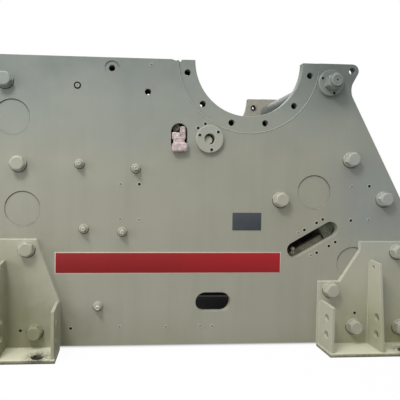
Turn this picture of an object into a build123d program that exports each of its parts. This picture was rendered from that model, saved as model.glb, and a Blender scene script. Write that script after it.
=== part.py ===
from build123d import *
import math
import os

# Lengths are millimetres. +X runs from the feed end to the toggle end, +Z is up.
LENGTH = 3732.0
PLATE_TOP = 2374.0
BASE_T = 30.0
OUTER_WIDTH = 1500.0
PLATE_T = 65.0
HALF_OUT = OUTER_WIDTH / 2
HALF_IN = HALF_OUT - PLATE_T
FRONT_LEAN = 6.4
FRONT_TOP_X = -LENGTH / 2
REAR_X = LENGTH / 2
REAR_SLANT = 27.8
SLANT_TOP = (REAR_X - 608.0, PLATE_TOP - 268.0)

# Rough torch-cut nick in the top edge
NICK_X = REAR_X - 2050.0

# Bearing seat, open at the top edge
SEAT_X = REAR_X - 1487.0
SEAT_Z = PLATE_TOP + 2.0
SEAT_R = 450.0
SEAT_CHAMFER = 3.0
SEAT_FACE_R = 587.0
SEAT_FACE_DEPTH = 6.0
SEAT_HOLE_CIRCLE_R = 523.0
SEAT_HOLE_R = 26.0
SEAT_HOLE_STEP = 31.4

# Lifting eye and tie bar at the horn
LUG_X = REAR_X - 616.0
LUG_R = 56.0
LUG_HOLE_R = 28.0
TIE_X = REAR_X - 803.0
TIE_Z = PLATE_TOP - 161.0
TIE_STUD_R = 44.0
TIE_BAR_R = 85.0
TIE_HOLE_R = 46.0
TIE_SHOULDER = 24.0
TIE_WASHER_R = 108.0
TIE_WASHER_T = 25.0
TIE_NUT_AF = 118.0
TIE_NUT_H = 74.0
TIE_STUD_PROUD = 12.0

# Round pins that key the end castings to the side plates
PIN_R = 141.0
PIN_SINK = 5.0
PIN_ENTRY = 60.0
PIN_FIT = 0.5
FRONT_PINS = [(FRONT_TOP_X + 327.0, PLATE_TOP - 489.0), (FRONT_TOP_X + 409.0, 1152.0)]
REAR_PINS = [(REAR_X - 918.0, 1305.0), (REAR_X - 564.0, 701.0)]

# Openings in the side plates
WINDOW_X = SEAT_X - 575.0
WINDOW_Z = PLATE_TOP - 630.0
WINDOW_W = 136.0
WINDOW_H = 232.0
FLANGE_X = SEAT_X - 327.0
FLANGE_Z = PLATE_TOP - 642.0
FLANGE_R = 113.0
FLANGE_BORE_R = 44.0
FLANGE_T = 26.0
FLANGE_BORE_FLOOR = 8.0
SLOT_A = (REAR_X - 1072.0, 820.0)
SLOT_B = (REAR_X - 767.0, 993.0)
SLOT_R = 66.0
OVAL_X = SEAT_X - 273.0
OVAL_Z = 383.0
OVAL_L = 297.0
OVAL_H = 163.0
HOIST_HOLE_R = 26.0
HOIST_HOLES = [
    (FRONT_TOP_X + 843.0, PLATE_TOP - 229.0),
    (FRONT_TOP_X + 1118.0, PLATE_TOP - 84.0),
    (FRONT_TOP_X + 1410.0, PLATE_TOP - 267.0),
]
SPOT_FACE_R = 57.0
SPOT_FACE_DEPTH = 4.0

# End castings
CASTING_SIDE_T = 75.0
CASTING_WEB_T = 80.0
CASTING_RIB_T = 56.0
CASTING_FLANGE_T = 70.0
CASTING_INSET = 25.0
FRONT_CASTING_DEPTH = 530.0
FRONT_CASTING_BOTTOM = 60.0
FRONT_CASTING_TOP = PLATE_TOP - 74.0
FRONT_SHELVES = 4
REAR_SHELF_Z = [500.0, 880.0, 1260.0]

# Toggle beam at the end of its guides, along the slot axis
GUIDE_T = 45.0
GUIDE_LOW = -90.0
GUIDE_HIGH = -20.0
GUIDE_START = -265.0
GUIDE_END = 105.0
BEAM_START = 118.0
BEAM_END = 190.0
SEAT_AT = 235.0
BEAM_HALF = 80.0
SHIM_INSET = 12.0

# Crushing chamber liners
DIE_BACK_GAP = 5.0
DIE_BODY_T = 70.0
DIE_TOOTH_H = 38.0
DIE_TEETH = 14
DIE_SIDE_GAP = 6.0
DIE_BOTTOM = 110.0
DIE_SPLIT = 1160.0
DIE_TOP = PLATE_TOP - 244.0
CHEEK_T = 50.0
CHEEK_GAP = 12.0
CHEEK_SPLIT = DIE_SPLIT + 75.0
CHEEK_TOP = PLATE_TOP - 334.0
CHEEK_BOTTOM = 150.0
CHEEK_REAR = FRONT_TOP_X + 1436.0

# Sides of the round edges that nothing is fitted to
COARSE = 16
FINE = 32

# Mounting feet
FRONT_FOOT_OUT = 264.0
REAR_FOOT_OUT = 238.0
PAD_T = 30.0
RIB_T = 25.0
SHORT_RIB_Z = 406.0
TALL_RIB_Z = 743.0
TALL_RIB_TOP_OUT = 162.0
RIB_DROP = 12.0
RIB_INSET = 7.0
RIB_HOLES = [(30.0, 148.0, 290.0), (30.0, 148.0, 150.0)]
RIB_TOP_HOLE = (15.0, 88.0, TALL_RIB_Z - 53.0)
FRONT_FOOT_X = FRONT_TOP_X + 711.0
REAR_FOOT_X = REAR_X - 866.0
RIB_BAY = 428.0
FRONT_PAD_TOP = 907.0
REAR_PAD_TOP = 891.0
ANCHOR_R = 46.0
ANCHOR_INSET = 57.0


def front_x(z, behind=0.0):
    drop = (z - BASE_T) * math.tan(math.radians(FRONT_LEAN))
    bottom = FRONT_TOP_X + (PLATE_TOP - BASE_T) * math.tan(math.radians(FRONT_LEAN))
    return bottom - drop + behind


def rear_x(z, inset=0.0):
    run = (SLANT_TOP[1] - z) * math.tan(math.radians(REAR_SLANT))
    return min(SLANT_TOP[0] + run, REAR_X) - inset


def polygon(points):
    return make_face(Polyline(*points, close=True))


def leaning(z0, z1, near, deep):
    low = [(front_x(z0, near), z0), (front_x(z0, deep), z0)]
    high = [(front_x(z1, deep), z1), (front_x(z1, near), z1)]
    return polygon(low + high)


def prism(face, y0, y1):
    return extrude(Plane.XZ.offset(-y1) * face, amount=y1 - y0)


def rod(radius, x, z, y0, y1):
    return Pos(x, (y0 + y1) / 2, z) * Rot(90, 0, 0) * Cylinder(radius, y1 - y0)


def disc(radius, sides, x, z, y0, y1):
    return prism(Pos(x, z) * RegularPolygon(radius, sides), y0, y1)


def obround(p, q, radius):
    angle = math.atan2(q[1] - p[1], q[0] - p[0])
    points = []
    for centre, turn in ((p, math.pi / 2), (q, -math.pi / 2)):
        for step in range(FINE // 2 + 1):
            a = angle + turn + 2 * math.pi * step / FINE
            points.append((centre[0] + radius * math.cos(a), centre[1] + radius * math.sin(a)))
    return polygon(points)


def slot_point(along, across):
    length = math.dist(SLOT_A, SLOT_B)
    ux = (SLOT_B[0] - SLOT_A[0]) / length
    uz = (SLOT_B[1] - SLOT_A[1]) / length
    x = (SLOT_A[0] + SLOT_B[0]) / 2 + along * ux - across * uz
    z = (SLOT_A[1] + SLOT_B[1]) / 2 + along * uz + across * ux
    return (x, z)


def plate_outline():
    lug_z = PLATE_TOP - LUG_R
    lug_mid = (LUG_X + LUG_R * 0.866, lug_z + LUG_R * 0.5)
    lug_end = (LUG_X + LUG_R * 0.866, lug_z - LUG_R * 0.5)
    neck_top = (LUG_X + 6, lug_z - 106)
    neck_mid = (LUG_X - 2, lug_z - 153)
    corner_z = SLANT_TOP[1] - (REAR_X - SLANT_TOP[0]) / math.tan(math.radians(REAR_SLANT))
    with BuildSketch() as sketch:
        with BuildLine():
            Polyline(
                SLANT_TOP,
                (REAR_X, corner_z),
                (REAR_X, BASE_T),
                (front_x(BASE_T), BASE_T),
                (FRONT_TOP_X, PLATE_TOP),
                (NICK_X - 80, PLATE_TOP),
                (NICK_X - 45, PLATE_TOP - 12),
                (NICK_X - 30, PLATE_TOP - 4),
                (NICK_X - 8, PLATE_TOP - 20),
                (NICK_X, PLATE_TOP - 2),
                (NICK_X + 20, PLATE_TOP),
                (LUG_X, PLATE_TOP),
            )
            ThreePointArc((LUG_X, PLATE_TOP), lug_mid, lug_end)
            Line(lug_end, neck_top)
            ThreePointArc(neck_top, neck_mid, SLANT_TOP)
        make_face()
    return sketch.sketch


def inner_pads():
    low = polygon(
        [
            (TIE_X - 85, PLATE_TOP),
            (TIE_X - 85, PLATE_TOP - 39),
            (TIE_X - 121, PLATE_TOP - 49),
            (TIE_X - 121, TIE_Z - 313),
            (LUG_X - 40, TIE_Z - 313),
            (LUG_X - 40, PLATE_TOP),
        ]
    )
    high = Pos(TIE_X + 36, TIE_Z - 125) * RectangleRounded(202, 378, 60)
    return prism(low, -HALF_IN, -HALF_IN + 12) + prism(high, -HALF_IN + 12, -HALF_IN + 24)


def seat_hole_positions():
    spots = []
    for step in range(6):
        angle = math.radians((step - 2.5) * SEAT_HOLE_STEP)
        x = SEAT_X + SEAT_HOLE_CIRCLE_R * math.sin(angle)
        z = SEAT_Z - SEAT_HOLE_CIRCLE_R * math.cos(angle)
        spots.append((x, z))
    return spots


def side_plate():
    plate = prism(plate_outline(), -HALF_OUT, -HALF_IN)
    plate = plate + inner_pads()
    out = -HALF_OUT - 1
    inn = -HALF_IN + 40
    plate -= rod(SEAT_FACE_R, SEAT_X, SEAT_Z, out, -HALF_OUT + SEAT_FACE_DEPTH)
    plate -= rod(SEAT_R, SEAT_X, SEAT_Z, out, inn)
    bevel = Cone(SEAT_R + SEAT_CHAMFER, SEAT_R, SEAT_CHAMFER)
    bevel_y = -HALF_OUT + SEAT_FACE_DEPTH + SEAT_CHAMFER / 2
    plate -= Pos(SEAT_X, bevel_y, SEAT_Z) * Rot(-90, 0, 0) * bevel
    for x, z in seat_hole_positions():
        plate -= rod(SEAT_HOLE_R, x, z, out, inn)
    for x, z in FRONT_PINS + REAR_PINS:
        plate -= disc(PIN_R + PIN_FIT, FINE, x, z, out, inn)
    for x, z in HOIST_HOLES:
        plate -= disc(HOIST_HOLE_R, COARSE, x, z, out, inn)
    x, z = HOIST_HOLES[1]
    plate -= disc(SPOT_FACE_R, FINE, x, z, out, -HALF_OUT + SPOT_FACE_DEPTH)
    plate -= disc(TIE_HOLE_R, COARSE, TIE_X, TIE_Z, out, inn)
    plate -= rod(LUG_HOLE_R, LUG_X, PLATE_TOP - LUG_R, out, inn)
    plate -= rod(FLANGE_BORE_R, FLANGE_X, FLANGE_Z, out, -HALF_IN - FLANGE_BORE_FLOOR)
    plate -= prism(obround(SLOT_A, SLOT_B, SLOT_R), out, inn)
    reach = (WINDOW_H - WINDOW_W) / 2
    low = (WINDOW_X, WINDOW_Z - reach)
    high = (WINDOW_X, WINDOW_Z + reach)
    plate -= prism(obround(low, high, WINDOW_W / 2), out, inn)
    reach = (OVAL_L - OVAL_H) / 2
    oval = obround((OVAL_X - reach, OVAL_Z), (OVAL_X + reach, OVAL_Z), OVAL_H / 2)
    plate -= prism(oval, out, inn)
    return plate


def front_casting():
    z0 = FRONT_CASTING_BOTTOM
    z1 = FRONT_CASTING_TOP
    near = CASTING_INSET
    deep = CASTING_INSET + FRONT_CASTING_DEPTH
    web = deep - CASTING_WEB_T
    whole = leaning(z0, z1, near, deep)
    p0 = z0 + CASTING_FLANGE_T
    p1 = z1 - CASTING_FLANGE_T
    pocket = leaning(p0, p1, 0, web)
    body = prism(whole, -HALF_IN, HALF_IN)
    body -= prism(pocket, -HALF_IN + CASTING_SIDE_T, HALF_IN - CASTING_SIDE_T)
    body += prism(whole, -CASTING_RIB_T / 2, CASTING_RIB_T / 2)
    shelf_step = (p1 - p0) / (FRONT_SHELVES + 1)
    for number in range(1, FRONT_SHELVES + 1):
        z = p0 + number * shelf_step
        shelf = leaning(z - CASTING_RIB_T / 2, z + CASTING_RIB_T / 2, near, web)
        body += prism(shelf, -HALF_IN + CASTING_SIDE_T, HALF_IN - CASTING_SIDE_T)
    return bore_pins(body, FRONT_PINS)


def rear_casting():
    rim = [
        (REAR_X - 1396, 1130),
        (REAR_X - 1321, 1345),
        (REAR_X - 746, 1700),
        (rear_x(1700, 30), 1700),
        (rear_x(952, 30), 949),
        (rear_x(952, 30), 60),
        (REAR_X - 686, 60),
        (REAR_X - 881, 300),
        (REAR_X - 881, 620),
        slot_point(SEAT_AT, -230),
        slot_point(SEAT_AT, 95),
        (REAR_X - 1226, 1060),
    ]
    hollow = [
        (REAR_X - 1166, 1200),
        (REAR_X - 1146, 1350),
        (REAR_X - 723, 1620),
        (REAR_X + 10, 1620),
        (REAR_X + 10, 130),
        (REAR_X - 651, 130),
        (REAR_X - 801, 330),
        (REAR_X - 801, 590),
        slot_point(SEAT_AT + CASTING_WEB_T, -262),
        slot_point(SEAT_AT + CASTING_WEB_T, 140),
        (REAR_X - 786, 1215),
    ]
    whole = polygon(rim)
    body = prism(whole, -HALF_IN, HALF_IN)
    inner_y = HALF_IN - CASTING_SIDE_T
    body -= prism(polygon(hollow), -inner_y, inner_y)
    body += prism(whole, -CASTING_RIB_T / 2, CASTING_RIB_T / 2)
    for z in REAR_SHELF_Z:
        slab = Pos(REAR_X - 466, 0, z) * Box(900, 2 * inner_y, CASTING_RIB_T)
        body += slab & prism(whole, -inner_y, inner_y)
    return bore_pins(body, REAR_PINS)


def bore_pins(body, spots):
    for x, z in spots:
        for y in (-HALF_IN, HALF_IN):
            body -= disc(PIN_R + PIN_FIT, FINE, x, z, y - PIN_ENTRY, y + PIN_ENTRY)
    return body


def frame_pins():
    pins = Part()
    for x, z in FRONT_PINS + REAR_PINS:
        pins += disc(PIN_R, FINE, x, z, -HALF_OUT + PIN_SINK, -HALF_IN + PIN_ENTRY)
    return pins


def tie_bar():
    shoulder = HALF_IN - TIE_SHOULDER
    end = HALF_OUT + TIE_WASHER_T + TIE_NUT_H + TIE_STUD_PROUD
    bar = disc(TIE_BAR_R, FINE, TIE_X, TIE_Z, -shoulder, shoulder)
    return bar + disc(TIE_STUD_R, COARSE, TIE_X, TIE_Z, -end, end)


def tie_washer():
    outer = -HALF_OUT - TIE_WASHER_T
    washer = disc(TIE_WASHER_R, FINE, TIE_X, TIE_Z, outer, -HALF_OUT)
    return washer - disc(TIE_HOLE_R, COARSE, TIE_X, TIE_Z, outer - 1, -HALF_OUT + 1)


def tie_nut():
    outer = -HALF_OUT - TIE_WASHER_T
    hexagon = Rot(0, 0, 30) * RegularPolygon(TIE_NUT_AF / math.sqrt(3), 6)
    nut = prism(Pos(TIE_X, TIE_Z) * hexagon, outer - TIE_NUT_H, outer)
    return nut - disc(TIE_HOLE_R, COARSE, TIE_X, TIE_Z, outer - TIE_NUT_H - 1, outer + 1)


def round_flange():
    outer = -HALF_OUT - FLANGE_T
    ring = disc(FLANGE_R, FINE, FLANGE_X, FLANGE_Z, outer, -HALF_OUT)
    return ring - rod(FLANGE_BORE_R, FLANGE_X, FLANGE_Z, outer - 1, -HALF_OUT + 1)


def cheek_plate(z0, z1, rear0, rear1):
    face_at = CASTING_INSET + FRONT_CASTING_DEPTH + DIE_BACK_GAP + DIE_BODY_T + DIE_TOOTH_H
    behind = face_at + CHEEK_GAP
    points = [(front_x(z0, behind), z0), (rear0, z0), (rear1, z1), (front_x(z1, behind), z1)]
    return prism(polygon(points), -HALF_IN, -HALF_IN + CHEEK_T)


def jaw_die(z0, z1):
    half = HALF_IN - DIE_SIDE_GAP
    pitch = 2 * half / DIE_TEETH
    points = [(0, -half), (0, half)]
    for tooth in range(DIE_TEETH):
        y = half - tooth * pitch
        points.append((DIE_BODY_T, y))
        points.append((DIE_BODY_T + DIE_TOOTH_H, y - 0.35 * pitch))
        points.append((DIE_BODY_T + DIE_TOOTH_H, y - 0.65 * pitch))
    points.append((DIE_BODY_T, -half))
    height = (z1 - z0) / math.cos(math.radians(FRONT_LEAN))
    die = extrude(polygon(points), amount=height)
    start = front_x(z0, CASTING_INSET + FRONT_CASTING_DEPTH + DIE_BACK_GAP + 8)
    return Pos(start, 0, z0) * Rot(0, -FRONT_LEAN, 0) * die


def slot_block(start, end, low, high):
    corners = [(start, low), (end, low), (end, high), (start, high)]
    return polygon([slot_point(along, across) for along, across in corners])


def toggle_beam():
    section = slot_block(BEAM_START, BEAM_END, -BEAM_HALF, BEAM_HALF)
    return prism(section, -HALF_IN + 2, HALF_IN - 2)


def beam_shims():
    section = slot_block(BEAM_END, SEAT_AT, -BEAM_HALF, BEAM_HALF)
    return prism(section, -HALF_IN + SHIM_INSET, -60) + prism(section, 60, HALF_IN - SHIM_INSET)


def beam_guide():
    section = slot_block(GUIDE_START, GUIDE_END, GUIDE_LOW, GUIDE_HIGH)
    return prism(section, -HALF_IN, -HALF_IN + GUIDE_T)


def pad_points(rear):
    if rear:
        return [
            (REAR_FOOT_X, 0),
            (REAR_X, 0),
            (rear_x(REAR_PAD_TOP), REAR_PAD_TOP),
            (REAR_FOOT_X + 348, REAR_PAD_TOP),
            (REAR_FOOT_X + 348, REAR_PAD_TOP - 72),
            (REAR_FOOT_X + 177, 556),
            (REAR_FOOT_X, 556),
        ]
    return [
        (FRONT_FOOT_X, 0),
        (FRONT_FOOT_X, SHORT_RIB_Z + 4),
        (FRONT_FOOT_X - 160, FRONT_PAD_TOP - 75),
        (FRONT_FOOT_X - 187, FRONT_PAD_TOP),
        (front_x(FRONT_PAD_TOP), FRONT_PAD_TOP),
        (front_x(BASE_T), BASE_T),
        (front_x(BASE_T), 0),
    ]


def foot_pad(rear):
    return prism(polygon(pad_points(rear)), -HALF_OUT - PAD_T, -HALF_OUT)


def foot_out(rear):
    return REAR_FOOT_OUT if rear else FRONT_FOOT_OUT


def foot_base(rear):
    if rear:
        x0 = REAR_FOOT_X
        x1 = REAR_X
        anchor_x = REAR_FOOT_X + 648
    else:
        x0 = front_x(BASE_T)
        x1 = FRONT_FOOT_X
        anchor_x = FRONT_FOOT_X - 140
    edge = -HALF_OUT - foot_out(rear)
    width = foot_out(rear) - PAD_T
    base = Pos((x0 + x1) / 2, edge + width / 2, BASE_T / 2) * Box(x1 - x0, width, BASE_T)
    return base - Pos(anchor_x, edge + ANCHOR_INSET, BASE_T / 2) * Cylinder(ANCHOR_R, 2 * BASE_T)


def foot_rib(x0, foot_edge, top_z, top_out, holes):
    y_in = -HALF_OUT - PAD_T
    section = [
        (y_in, BASE_T),
        (-HALF_OUT - foot_edge, BASE_T),
        (-HALF_OUT - top_out, top_z - RIB_DROP),
        (y_in, top_z),
    ]
    rib = extrude(Plane.YZ.offset(x0) * polygon(section), amount=RIB_T)
    for radius, out, z in holes:
        hole = Plane.YZ.offset(x0 - 1) * Pos(-HALF_OUT - out, z) * RegularPolygon(radius, COARSE)
        rib -= extrude(hole, amount=RIB_T + 2)
    return rib


def foot_ribs(rear):
    edge = foot_out(rear) - RIB_INSET
    if rear:
        short_x = REAR_FOOT_X + RIB_INSET
        tall_xs = [REAR_FOOT_X + RIB_BAY, REAR_X - RIB_T - RIB_INSET]
    else:
        short_x = FRONT_FOOT_X - RIB_T - RIB_INSET
        tall_xs = [FRONT_FOOT_X - RIB_BAY - RIB_T]
    ribs = foot_rib(short_x, edge, SHORT_RIB_Z, edge - 2, RIB_HOLES)
    for x in tall_xs:
        ribs += foot_rib(x, edge, TALL_RIB_Z, TALL_RIB_TOP_OUT, RIB_HOLES + [RIB_TOP_HOLE])
    return ribs


def wrapped_fitting():
    sill = WINDOW_Z - WINDOW_H / 2 + 28
    inner = Pos(WINDOW_X, -HALF_OUT + 28, sill + 62) * Box(WINDOW_W - 36, 58, 124)
    front = Pos(WINDOW_X + 4, -HALF_OUT - 20, sill + 6) * Box(WINDOW_W - 30, 38, 84)
    return inner + front


def save(shape, name):
    export_step(shape, "parts/" + name + ".step")


def save_pair(shape, name):
    save(shape, name + "_left")
    save(shape.mirror(Plane.XZ), name + "_right")


def main():
    os.makedirs("parts", exist_ok=True)
    save_pair(side_plate(), "side_plate")
    save(front_casting(), "front_end_casting")
    save(rear_casting(), "rear_end_casting")
    save_pair(frame_pins(), "frame_pins")
    save(tie_bar(), "upper_tie_bar")
    save_pair(tie_washer(), "tie_bar_washer")
    save_pair(tie_nut(), "tie_bar_nut")
    save_pair(round_flange(), "round_flange")
    upper_cheek = cheek_plate(CHEEK_SPLIT + 5, CHEEK_TOP, CHEEK_REAR, CHEEK_REAR + 100)
    lower_cheek = cheek_plate(CHEEK_BOTTOM, CHEEK_SPLIT - 5, CHEEK_REAR - 210, CHEEK_REAR - 5)
    save_pair(upper_cheek, "upper_cheek_plate")
    save_pair(lower_cheek, "lower_cheek_plate")
    save(jaw_die(DIE_SPLIT + 10, DIE_TOP), "upper_fixed_jaw_die")
    save(jaw_die(DIE_BOTTOM, DIE_SPLIT - 10), "lower_fixed_jaw_die")
    save(toggle_beam(), "toggle_beam")
    save(beam_shims(), "toggle_beam_shims")
    save_pair(beam_guide(), "beam_guide")
    for rear, name in ((False, "front"), (True, "rear")):
        save_pair(foot_pad(rear), name + "_foot_pad")
        save_pair(foot_base(rear), name + "_foot_base")
        save_pair(foot_ribs(rear), name + "_foot_ribs")
    save(wrapped_fitting(), "window_fitting")


main()
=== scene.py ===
import math
import random

import bmesh
import bpy
from mathutils import Matrix, Vector, noise


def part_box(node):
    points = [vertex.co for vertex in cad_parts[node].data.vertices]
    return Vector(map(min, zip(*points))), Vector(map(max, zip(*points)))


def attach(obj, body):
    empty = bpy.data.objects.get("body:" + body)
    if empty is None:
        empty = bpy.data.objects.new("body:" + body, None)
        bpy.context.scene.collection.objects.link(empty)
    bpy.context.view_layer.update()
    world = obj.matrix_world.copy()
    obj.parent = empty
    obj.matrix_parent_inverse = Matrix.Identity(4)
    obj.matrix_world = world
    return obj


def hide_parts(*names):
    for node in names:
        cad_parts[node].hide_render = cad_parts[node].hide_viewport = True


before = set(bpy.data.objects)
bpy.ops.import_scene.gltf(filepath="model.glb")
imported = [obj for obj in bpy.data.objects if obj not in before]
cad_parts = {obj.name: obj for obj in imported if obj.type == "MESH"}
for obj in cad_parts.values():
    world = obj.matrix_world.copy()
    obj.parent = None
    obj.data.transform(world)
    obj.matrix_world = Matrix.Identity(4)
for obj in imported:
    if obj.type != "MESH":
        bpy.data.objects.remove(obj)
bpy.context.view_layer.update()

# Sizes are millimetres in the frame's own directions. Meshes are in metres.
MM = 0.001

# Faces that the fittings sit on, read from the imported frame
PLATE_T = 65.0
PLATE_FACE = -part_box("side_plate_left")[0].y / MM
PAD_FACE = -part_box("front_foot_pad_left")[0].y / MM
FLANGE_FACE = -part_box("round_flange_left")[0].y / MM
WASHER_FACE = -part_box("tie_bar_washer_left")[0].y / MM
STUD_END = -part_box("upper_tie_bar")[0].y / MM
INNER_PLATE_FACE = PLATE_FACE - PLATE_T
BASE_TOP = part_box("front_foot_base_left")[1].z / MM
FRAME_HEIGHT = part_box("side_plate_left")[1].z

# Large frame bolts, by plate and by foot pad, as places along and up
BOLTS_ON_PLATE = [
    (-1591, 2173),
    (-1489, 1514),
    (660, 1241),
    (1258, 1581),
    (1556, 1252),
]
BOLTS_ON_PADS = [(-1416, 832), (-1351, 161), (1094, 490), (1305, 177), (1669, 811), (1709, 168)]
BOLT_FLATS = 106.0
BOLT_HEAD_H = 48.0
BOLT_FACE_R = 46.0
BOLT_WASHER_R = 65.0
BOLT_WASHER_H = 12.0

# Studs and nuts that hold the cheek plates
LINER_STUDS = [(-1004, 1519), (-549, 1487), (-968, 993), (-655, 970), (-850, 357)]
LINER_NUT_FLATS = 55.0
LINER_NUT_H = 30.0
LINER_WASHER_R = 38.0
LINER_WASHER_H = 7.0
LINER_STUD_R = 17.0
LINER_STUD_PROUD = 26.0
THREAD_TURNS = 7
THREAD_PITCH = 3.0
THREAD_DEPTH = 1.8

# Small tapped holes in the plate and the foot pads
TAPS_ON_PLATE = [
    (-519, 1358),
    (-1069, 173),
    (1274, 1069),
    (1428, 1361),
    (-41, 1823),
    (18, 1858),
    (1030, 1078),
    (977, 1048),
    (873, 988),
    (1144, 886),
    (1089, 852),
    (984, 796),
]
PLUGGED_TAPS = [
    (-430, 2323),
    (-673, 1356),
    (-674, 1073),
    (-522, 1065),
    (-671, 181),
    (-287, 176),
    (0, 181),
    (101, 180),
    (1275, 1354),
    (1430, 1075),
    (820, 962),
    (933, 773),
]
TAPS_ON_PADS = [(-1466, 171), (1313, 290)]
TAP_R = 12.0

# Round flange and tie bar end
FLANGE_X = 52.0
FLANGE_Z = 1732.0
FLANGE_R = 113.0
FLANGE_BORE_R = 44.0
FLANGE_TAP_R = 89.0
FLANGE_TAP_ANGLES = [40, 160, 280]
TIE_X = 1063.0
TIE_Z = 2213.0
TIE_NUT_FLATS = 118.0
TIE_NUT_H = 74.0
TIE_CAP_R = 50.0
TIE_WASHER_R = 108.0
TIE_WASHER_TAPS = [(-76, 34), (24, -86)]

# Round keying pins
PIN_R = 141.0
PINS = [(-1539, 1885), (-1457, 1152), (948, 1305), (1302, 701)]

# Bolt holes of the bearing seat and hoist holes. A sleeve is its bore, its shift along and its shift up,
# and a sleeve without a bore is a blank.
SEAT_X = 379.0
SEAT_Z = 2376.0
SEAT_RING_R = 587.0
SEAT_HOLE_CIRCLE_R = 523.0
SEAT_HOLE_STEP = 31.4
SEAT_HOLE_R = 26.0
SEAT_SLEEVES = [(10, 6, -13), (13, -5, -4), (0, 0, 0), (11, -7, -7), (11, -6, -6), (13, -4, -4)]
SPOT_FACE_R = 57.0
HOIST_HOLES = [(-1023, 2145), (-748, 2290), (-456, 2107)]
HOIST_SLEEVES = [(0, 0, 0), (0, 0, 0), (12, 9, -12)]
SLEEVE_LENGTH = 12.0
SLEEVE_GAP = 2.0

# Stripe and bare plate
STRIPE_X = (-1192.0, 669.0)
STRIPE_Z = (630.0, 794.0)
STRIPE_BORDER = 8.0
PLATE_X = (258.0, 500.0)
PLATE_Z = (984.0, 1130.0)

# Inclined slot
SLOT_A = Vector((794.0, 820.0))
SLOT_B = Vector((1099.0, 993.0))
ADJUSTER_NUT_FLATS = 28.0
ADJUSTER_NUT_H = 20.0
ADJUSTER_NUT_FACE_R = 12.0

# Ribs of the near feet: place along, edge of the foot and height
RIB_T = 25.0
RIBS = [
    (-1187, 1014, 406),
    (-1608, 1014, 743),
    (1007, 988, 406),
    (1428, 988, 743),
    (1834, 988, 743),
]
FRONT_PAD_EDGE = [(-1698, 907), (-1342, 907), (-1315, 832), (-1155, 410), (-1155, 32)]
REAR_PAD_EDGE = [(1866, 891), (1348, 891), (1348, 819), (1177, 556), (1000, 556), (1000, 32)]
ANCHOR_HOLES = [(-1295, 957), (1648, 931)]

# Window with the wrapped fitting
WINDOW_X = -196.0
WINDOW_SILL = 1628.0

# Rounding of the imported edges, and the angle past which a small piece keeps a crisp edge
WORN_EDGE = 3.0
CRISP = 18.0

# Camera, in the frame's own metres
CAMERA_PLACE = (-0.675, -4.010, 1.36845)
CAMERA_YAW = 3.5528
CAMERA_PITCH = 2.0532
CAMERA_ROLL = 0.6092
CAMERA_LENS = 36.0
CAMERA_SENSOR = 36.0
CAMERA_SHIFT = (0.13786, -0.00676)

# Light of the even sky, and the share of the open ground that glows for the lens
SKY_STRENGTH = 0.48
GROUND_GLOW = 0.95

# Painted shadow on the ground under the frame, in metres: for its ends and sides, where it begins to pale and
# where it is open
DARK_FRONT = (-1.5, -1.6)
DARK_REAR = (1.72, 1.82)
DARK_SIDE = (0.66, 0.72)

# Painted shadow on the ground in the gap under the far side plate, in metres: its middle, then the same two
# reaches from there
GAP_ALONG = (0.45, 0.3, 0.4)
GAP_ACROSS = (0.71, 0.08, 0.11)

# Draws for the turn of each bolt and nut and for the ripple of the welds
rng = random.Random(125)


def colour(red, green, blue):
    """The linear colour of a screen colour from 0 to 255."""
    parts = []
    for value in (red, green, blue):
        share = value / 255
        parts.append(share / 12.92 if share <= 0.04045 else ((share + 0.055) / 1.055) ** 2.4)
    return (*parts, 1.0)


# Paint by its height as a share of the frame's height, with painted shade that makes it darker and cooler
# towards the top
PAINT_AND_SHADE_LEVELS = [
    (0.0, colour(153, 151, 131)),
    (0.12, colour(158, 156, 140)),
    (0.35, colour(156, 154, 138)),
    (0.65, colour(151, 150, 136)),
    (0.85, colour(135, 140, 132)),
    (1.0, colour(112, 119, 113)),
]

# What lies on the paint or shows through it, and the painted shade and highlight on it
# Darker olive low at the front
LOW_FRONT_OLIVE = colour(118, 116, 88)
# Painted shade on the horn at the rear top
HORN_SHADE = colour(78, 84, 84)
COOL_GREY = colour(134, 142, 143)
STREAK = colour(124, 124, 108)
CLOUD = colour(170, 170, 156)
DUST = colour(118, 117, 102)
FOOT_STAIN = colour(128, 131, 92)
# Painted highlight on the tops of the bases
BASE_TOP_SHEEN = colour(190, 188, 166)
ANCHOR_DIRT = colour(44, 40, 34)
LIP_DIRT = colour(74, 70, 60)
PRIMER = colour(166, 159, 145)
# Painted shade on the inner faces of the side plates below their tops
CHAMBER_SHADE = colour(30, 29, 27)
RUST = colour(96, 66, 44)


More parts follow.
